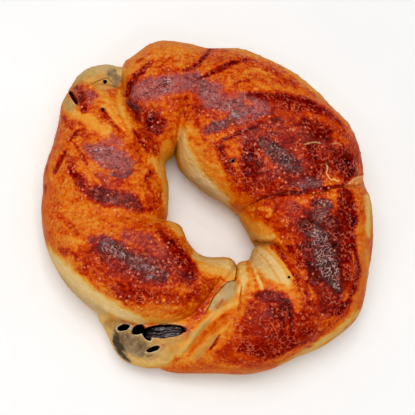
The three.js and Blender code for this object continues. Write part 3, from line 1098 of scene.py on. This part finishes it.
def crust_material():
    n = Nodes("glazed_crust")
    bake, painted_sheen, grey = n.attribute("bake"), n.attribute("painted_sheen"), n.attribute("grey")
    browned = n.steps(bake, 0.15, 0.45)
    dark = n.steps(bake, 0.45, 0.75)

    blotch = n.minus(n.noise(3.2), 0.5)
    fine = n.minus(n.noise(1.0, 4.0, 0.65), 0.5)
    grain = n.steps(n.noise(1.3, 2.0, 0.6, (0.6, 1, 1)), 0.38, 0.62, -0.5, 0.5)
    varied = n.scaled(blotch, 0.32, n.times(fine, 0.6))
    varied = n.scaled(grain, 0.08, varied)
    busy = n.scaled(n.attribute("calm"), -0.85, 1.0)
    busy = n.times(busy, n.steps(n.attribute("glaze"), 0.0, 0.5, 0.35, 1.0))
    varied = n.times(n.times(varied, busy), n.scaled(browned, 0.8, 0.2))
    # Bubbles and short squiggles of the glaze, with painted glints that make them lighter than the dark
    # crust round them.
    here = n.times(n.steps(n.cells(BUBBLE_SIZE, "Color"), 0.45, 0.55), n.steps(n.noise(7.0), 0.35, 0.55))
    here = n.times(here, busy)
    bubble = n.times(n.steps(n.cells(BUBBLE_SIZE), 0.42, 0.15), here)
    bubble_glint = n.times(n.steps(n.cells(BUBBLE_SIZE), 0.26, 0.08), here)
    squiggle = n.times(n.steps(n.lines(1.9), 0.055, 0.008), n.steps(n.noise(5.0), 0.38, 0.56))
    # Where the painted sheen lies on the darkest crust, painted glints run close together in fine pale
    # lines.
    glint_net_area = n.times(n.steps(bake, 0.86, 0.93), n.steps(painted_sheen, 0.05, 0.2))
    glint_net = n.times(n.steps(n.lines(1.6), 0.045, 0.015), glint_net_area)
    glint_flecks = n.math("MAXIMUM", n.math("MAXIMUM", bubble, squiggle), glint_net)
    glint_lift = n.times(n.times(glint_flecks, n.scaled(dark, 0.7, 0.3)), -0.19)
    shade = n.math("ADD", n.math("ADD", bake, varied), glint_lift)
    # Cracks are dark lines, and the lips of the openings are thin and pale.
    broken = n.times(n.minus(n.noise(0.8), 0.5), 0.5)
    crack = n.math("ADD", n.math("ABSOLUTE", n.attribute("crack")), broken)
    line = n.times(n.steps(crack, 0.34, 0.12), n.attribute("crack_strength"))
    crack, split = n.math("MAXIMUM", line, 0.0), n.math("MAXIMUM", n.times(line, -1.0), 0.0)
    # The painted sheen lies in wrinkles, and the creases between them are painted darker, as dark lines of
    # shade.
    wrinkle_shade = n.times(n.steps(n.lines(3.4, (0.55, 1, 1), 3.0, 0.6), 0.035, 0.0), painted_sheen)
    shade = n.scaled(wrinkle_shade, 0.22, shade, clamp=True)
    colour = n.ramp(shade, CRUST_COLOURS)
    # Painted glints: the flecks and the bubble tops are mixed towards pale colours.
    colour = n.mix(n.times(glint_flecks, n.times(dark, 0.16)), colour, linear(GLINT_COLOUR))
    colour = n.mix(n.times(bubble_glint, n.times(browned, 0.42)), colour, linear(BUBBLE_GLINT_COLOUR))

    # Painted sheen: a greyish plum reflection mixed into the colour where the strokes put it.
    sheen = n.times(painted_sheen, n.steps(n.noise(1.1, 4.0, 0.6), 0.3, 0.75, 0.25, 0.85))
    sheen = n.times(sheen, n.minus(1.0, n.times(wrinkle_shade, 0.8)))
    colour = n.mix(sheen, colour, linear(SHEEN_COLOUR))
    colour = n.mix(n.times(crack, 0.85), colour, linear(CRACK_COLOUR))
    colour = n.mix(n.times(glint_net, 0.5), colour, linear(GLINT_NET_COLOUR))
    colour = n.mix(n.times(split, 0.8), colour, linear(SPLIT_COLOUR))
    film = n.ramp(n.noise(3.0, 5.0, 0.7), [(0.36, MEMBRANE_COLOUR), (0.64, VEIN_COLOUR)])
    colour = n.mix(n.math("MINIMUM", grey, 0.95), colour, film)
    colour = n.mix(n.steps(grey, 1.0, 1.3, 0.0, 0.85), colour, linear(DEEP_MEMBRANE_COLOUR))
    opening = n.scaled(n.minus(n.noise(1.2), 0.5), 0.7, n.attribute("opening"))
    lip = n.times(n.steps(opening, 0.32, 0.14), n.steps(opening, -0.15, 0.05))
    lip = n.times(lip, n.scaled(browned, -0.6, 0.68))
    colour = n.mix(lip, colour, linear(LIP_COLOUR))
    # Painted shade: inside the openings and pits the walls are painted near black.
    hollow_shade = n.steps(opening, 0.05, -0.2)
    colour = n.mix(hollow_shade, colour, linear(OPENING_SHADE_COLOUR))
    n.feed("Base Color", colour)

    rough = n.scaled(browned, -0.2, 0.54)
    rough = n.math("ADD", rough, n.times(n.noise(1.7), 0.1))
    rough = n.scaled(hollow_shade, 0.3, rough)
    n.feed("Roughness", rough)
    n.feed("Specular IOR Level", SPECULAR_LEVEL)
    patches = n.times(n.steps(n.noise(2.4, 3.0), 0.5, 0.64), n.steps(painted_sheen, 0.0, 0.4, 0.3, 1.0))
    glaze = n.times(n.math("MAXIMUM", patches, n.times(glint_flecks, 0.6)), busy)
    glaze = n.times(glaze, n.times(n.attribute("glaze"), n.minus(1.0, hollow_shade)))
    n.feed("Coat Weight", n.times(glaze, n.scaled(browned, 0.7, 0.05)))
    n.feed("Coat Roughness", GLAZE_ROUGHNESS)

    normal = n.bump(n.noise(1.8, 4.0, 0.6, (0.5, 1, 1)), 0.35)
    normal = n.bump(n.times(glint_flecks, browned), 0.16, Normal=normal)
    normal = n.bump(n.noise(0.8, 3.0), 0.1, Normal=normal)
    n.feed("Normal", normal)
    n.feed("Coat Normal", normal)
    return n.material


def chocolate_material():
    n = Nodes("dark_chocolate")
    n.feed("Base Color", n.ramp(n.noise(1.5, 4.0), CHOCOLATE_COLOURS))
    n.feed("Roughness", n.scaled(n.noise(2.0), 0.2, 0.2))
    n.feed("Coat Weight", CHOCOLATE_COAT)
    n.feed("Coat Roughness", CHOCOLATE_COAT_ROUGHNESS)
    n.feed("Normal", n.bump(n.noise(1.1, 4.0), 0.5))
    return n.material


def floor_material():
    n = Nodes("pale_table")
    n.feed("Base Color", n.ramp(n.noise(60.0), FLOOR_COLOURS))
    n.feed("Roughness", FLOOR_ROUGHNESS)
    return n.material


# ---- filling


CHOCOLATE_RINGS, CHOCOLATE_SIDES = 720, 72
SWELL_DETAIL = 6
# Lumps and waves of the chocolate: height and size in mm, and seed where it is random.
LUMPS = (0.12, 3, 30)
LUMPS_LOW = 0.1
WAVES = (0.28, 1.9)
WAVE_BEND = (0.7, 3, 33)
WAVE_LUMPS = (0.25, 2, 34)
WAVES_LOW = 0.3


def make_chocolate():
    grid = ribbon_grid(0, CHOCOLATE_RINGS, CHOCOLATE_SIDES)
    points = grid.reshape(-1, 3)
    middle = np.repeat(grid.mean(axis=1), CHOCOLATE_SIDES, axis=0)
    outward = points - middle
    outward /= norm(outward, axis=1, keepdims=True)
    height, size, seed = LUMPS
    points = points + outward * (height * rough_noise(points, size, seed) - LUMPS_LOW)[:, None]
    faces = loop_faces(CHOCOLATE_RINGS, CHOCOLATE_SIDES)
    chocolate = mesh_object("chocolate_filling", points, faces)
    swell = ellipsoid("swell", *SWELL, SWELL_DETAIL, 0, 0)
    ball = vectors(swell.data.vertices, "co") / MM
    height, size, seed = WAVE_BEND
    bend = height * smooth_noise(ball, size, seed)
    wave = np.sin((ball[:, 1] + bend) * 2 * pi / WAVES[1])
    height, size, seed = WAVE_LUMPS
    lift = WAVES[0] * wave + height * rough_noise(ball, size, seed) - WAVES_LOW
    ball[:, 2] += lift * ease(14, 18, ball[:, 2])
    swell.data.vertices.foreach_set("co", (ball * MM).ravel())
    combine(chocolate, [swell], "UNION")
    chocolate.data.shade_smooth()
    return chocolate


# ---- stage


# Lights: name, place in metres, watts and size. Five small lamps stand round the large soft one.
WINDOW = ("window", (-0.05, 0.06, 0.75), 3.1, 0.36)
FILL = ("fill", (-0.34, -0.4, 0.3), 0.28, 0.3)
LAMP_TURNS = (20, 90, 150, 215, 290)
LAMP_RADIUS, LAMP_HEIGHT, LAMP_WATTS, LAMP_SIZE = 0.34, 0.7, 0.16, 0.03
LIT_POINT = (0, 0, 0.02)
SKY = 0.43
FLOOR_SIZE = 6
FLOOR_DROP = 0.00002
NEAR_CLIP = 0.01
BLACK_LEVEL = 0.008


def area_light(name, place, energy, size):
    data = bpy.data.lights.new(name, "AREA")
    data.energy, data.size = energy, size
    lamp = add_object(name, data)
    lamp.location = place
    lamp.rotation_mode = "QUATERNION"
    lamp.rotation_quaternion = (Vector(place) - Vector(LIT_POINT)).to_track_quat("Z", "Y")


def make_stage():
    area_light(*WINDOW)
    for n, turn in enumerate(LAMP_TURNS):
        x, y = cos(radians(turn)), sin(radians(turn))
        place = (LAMP_RADIUS * x, LAMP_RADIUS * y, LAMP_HEIGHT)
        area_light(f"lamp_{n}", place, LAMP_WATTS, LAMP_SIZE)
    area_light(*FILL)
    world = bpy.data.worlds.new("studio")
    bpy.context.scene.world = world
    world.use_nodes = True
    background = world.node_tree.nodes["Background"]
    background.inputs["Color"].default_value = (1, 1, 1, 1)
    background.inputs["Strength"].default_value = SKY
    bpy.ops.mesh.primitive_plane_add(size=FLOOR_SIZE, location=(0, 0, -FLOOR_DROP))
    floor = bpy.context.object
    floor.name = "floor"
    floor.data.materials.append(floor_material())


def make_camera():
    data = bpy.data.cameras.new("camera")
    data.sensor_width = SENSOR
    data.lens = SENSOR / (2 * tan(radians(FIELD_OF_VIEW / 2)))
    data.clip_start = NEAR_CLIP
    camera = add_object("camera", data)
    right, up, back = view_axes()
    camera.location = (Vector(AIMED_AT) + back * DISTANCE) * MM
    camera.rotation_mode = "QUATERNION"
    camera.rotation_quaternion = Matrix((right, up, back)).transposed().to_quaternion()
    bpy.context.scene.camera = camera


dough = make_dough()
paint_dough(dough)
dough.data.materials.clear()
dough.data.materials.append(crust_material())
chocolate = make_chocolate()
chocolate.data.materials.clear()
chocolate.data.materials.append(chocolate_material())
for piece, node, slot in ((dough, "dough", "crust"), (chocolate, "filling", "chocolate")):
    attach(piece, "root")
    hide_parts(node)

make_stage()
make_camera()
settings = bpy.context.scene.view_settings
settings.view_transform = "Standard"
settings.use_curve_mapping = True
settings.curve_mapping.black_level = (BLACK_LEVEL,) * 3
